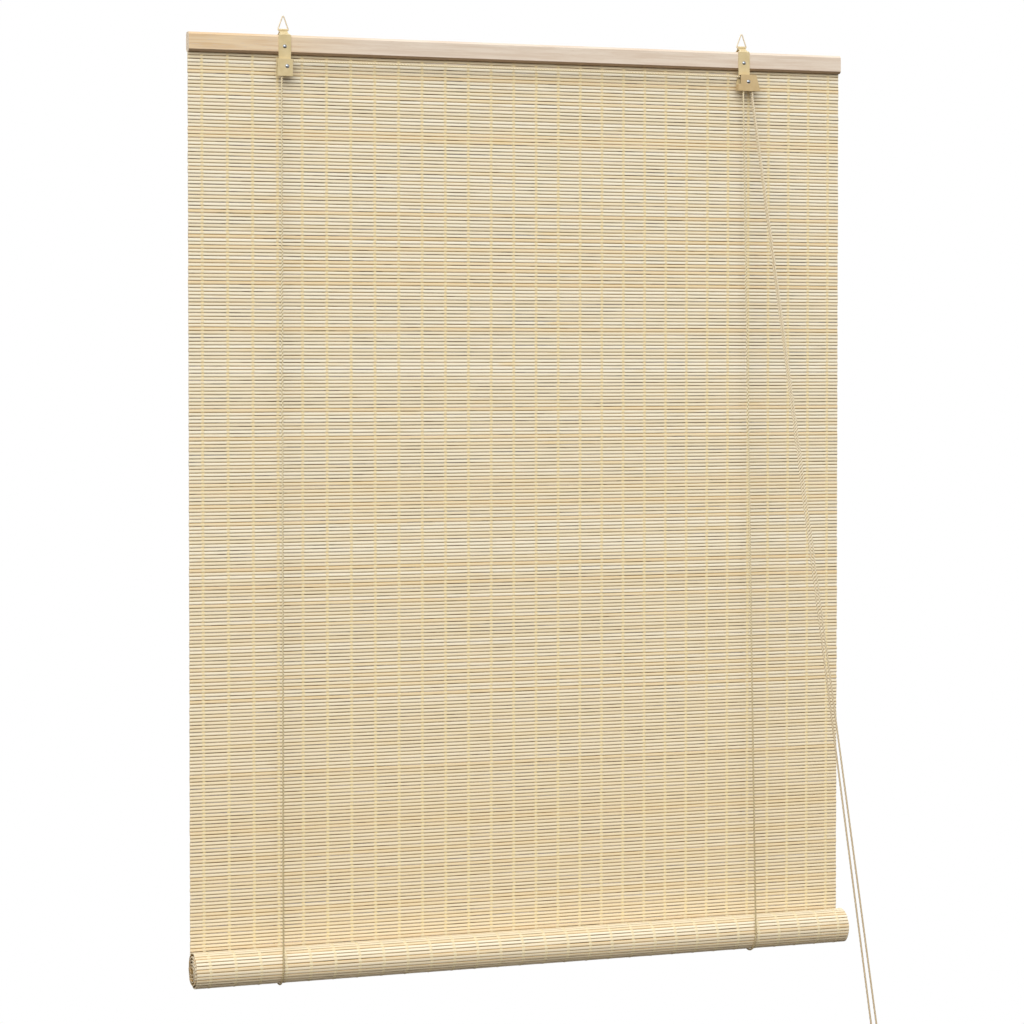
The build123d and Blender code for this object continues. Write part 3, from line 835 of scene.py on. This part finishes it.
# Pull cords: the free ends of the two lift cords, of the same cotton. They leave the lock side by side, are
# drawn forward and to the right out of the picture, and end in a knot each.
left_pull = (
    (0.3517, -0.0124, -0.07255),
    (0.3517, -0.0124, -0.0899),
    (0.3522, -0.0165, -0.1067),
    (0.3960, -0.3457, -1.4500),
)
right_pull = (
    (0.3517, -0.0160, -0.07255),
    (0.3517, -0.0160, -0.0899),
    (0.3523, -0.0201, -0.1067),
    (0.4026, -0.3493, -1.4500),
)
pull_finish = cotton_finish(
    "pull_cord_braid",
    top_colour=(0.88, 0.79, 0.60),
    top_furrow_shade=(0.44, 0.34, 0.20),
    foot_shade=(0.55, 0.44, 0.285),
    foot_furrow_shade=(0.41, 0.32, 0.20),
)
for node, route in (("pull_cord_left", left_pull), ("pull_cord_right", right_pull)):
    piece, spots = lay_cord(node, "head", route, pull_finish)
    knot = tie_knot(node + "_knot", route[-1], Vector(route[-1]) - Vector(route[-2]), pull_finish)


# Studio: a pale floor under the hanging blind, a large soft lamp from the upper left in front and a weaker
# one behind, even light from above, and a white background. The camera stands to the left, a third of the
# way down.
floor_radius = 1.2
floor_z = -2.4
floor_sides = 96
floor_light = (0.83, 0.83, 0.825)
floor_dark = (0.80, 0.80, 0.80)
floor_bounce = (0.11, 0.09, 0.065)


def larger(tree, first, second):
    """The larger of two values."""
    return place(tree, "ShaderNodeMath", {0: first, 1: second}, operation="MAXIMUM").outputs[0]


floor_mesh = bpy.data.meshes.new("floor")
angles = [2 * math.pi * corner / floor_sides for corner in range(floor_sides)]
rim = [(floor_radius * math.cos(angle), floor_radius * math.sin(angle), floor_z) for angle in angles]
floor_mesh.from_pydata(rim, [], [tuple(range(floor_sides))])
floor_finish, tree, shader = new_finish("pale_floor", Roughness=0.9, Specular_IOR_Level=0.1)
dust = place(tree, "ShaderNodeTexNoise", {"Vector": own_place(tree), "Scale": 4.0, "Detail": 3.0})
pale = blend_colours(tree, between(tree, dust.outputs["Fac"], 0.3, 0.7), floor_dark, floor_light)
path = place(tree, "ShaderNodeLightPath")
seen = larger(tree, path.outputs["Is Camera Ray"], path.outputs["Is Glossy Ray"])
tree.links.new(blend_colours(tree, seen, floor_bounce, pale), shader.inputs["Base Color"])
floor_mesh.materials.append(floor_finish)
floor = bpy.data.objects.new("floor", floor_mesh)
scene.collection.objects.link(floor)

lamp_spread = 60.0
lamps = (
    # name, strength, heading
    ("front_lamp", 2.3, (0.36, 0.72, -0.55)),
    ("back_lamp", 1.3, (-0.25, -0.85, -0.42)),
)
for name, energy, heading in lamps:
    lamp = bpy.data.lights.new(name, "SUN")
    lamp.energy = energy
    lamp.angle = math.radians(lamp_spread)
    lamp_stand = bpy.data.objects.new(name, lamp)
    lamp_stand.rotation_euler = Vector(heading).to_track_quat("-Z", "Y").to_euler()
    scene.collection.objects.link(lamp_stand)

light_above = (0.86, 0.85, 0.83)
light_below = (0.10, 0.082, 0.06)
light_heights = (-0.35, 0.55)
gloss_heights = (-0.45, 0.0)
world = bpy.data.worlds.new("studio")
world.use_nodes = True
scene.world = world
tree = world.node_tree
tree.nodes.clear()
path = place(tree, "ShaderNodeLightPath")
sky = place(tree, "ShaderNodeSeparateXYZ", {0: place(tree, "ShaderNodeTexCoord").outputs["Generated"]})
shade = blend_colours(tree, between(tree, sky.outputs["Z"], *light_heights), light_below, light_above)
gloss = larger(tree, path.outputs["Is Glossy Ray"], path.outputs["Is Transmission Ray"])
gloss = product(tree, gloss, between(tree, sky.outputs["Z"], *gloss_heights))
seen = larger(tree, path.outputs["Is Camera Ray"], gloss)
soft = place(tree, "ShaderNodeBackground", {"Color": shade, "Strength": 1.0})
white = place(tree, "ShaderNodeBackground", {"Color": (1, 1, 1, 1), "Strength": 1.0})
both = place(tree, "ShaderNodeMixShader", {0: seen, 1: soft.outputs[0], 2: white.outputs[0]})
place(tree, "ShaderNodeOutputWorld", {"Surface": both.outputs[0]})

camera_place = (-1.3547, -3.8928, -0.4791)
camera_pitch = 88.5
camera_turn = -18.912
camera = bpy.data.cameras.new("camera")
camera.sensor_width = 36.0
camera.lens = 99.389
camera.shift_y = -0.0795
camera_stand = bpy.data.objects.new("camera", camera)
camera_stand.location = camera_place
camera_stand.rotation_euler = (math.radians(camera_pitch), 0.0, math.radians(camera_turn))
scene.collection.objects.link(camera_stand)
scene.camera = camera_stand
scene.view_settings.view_transform = "Standard"
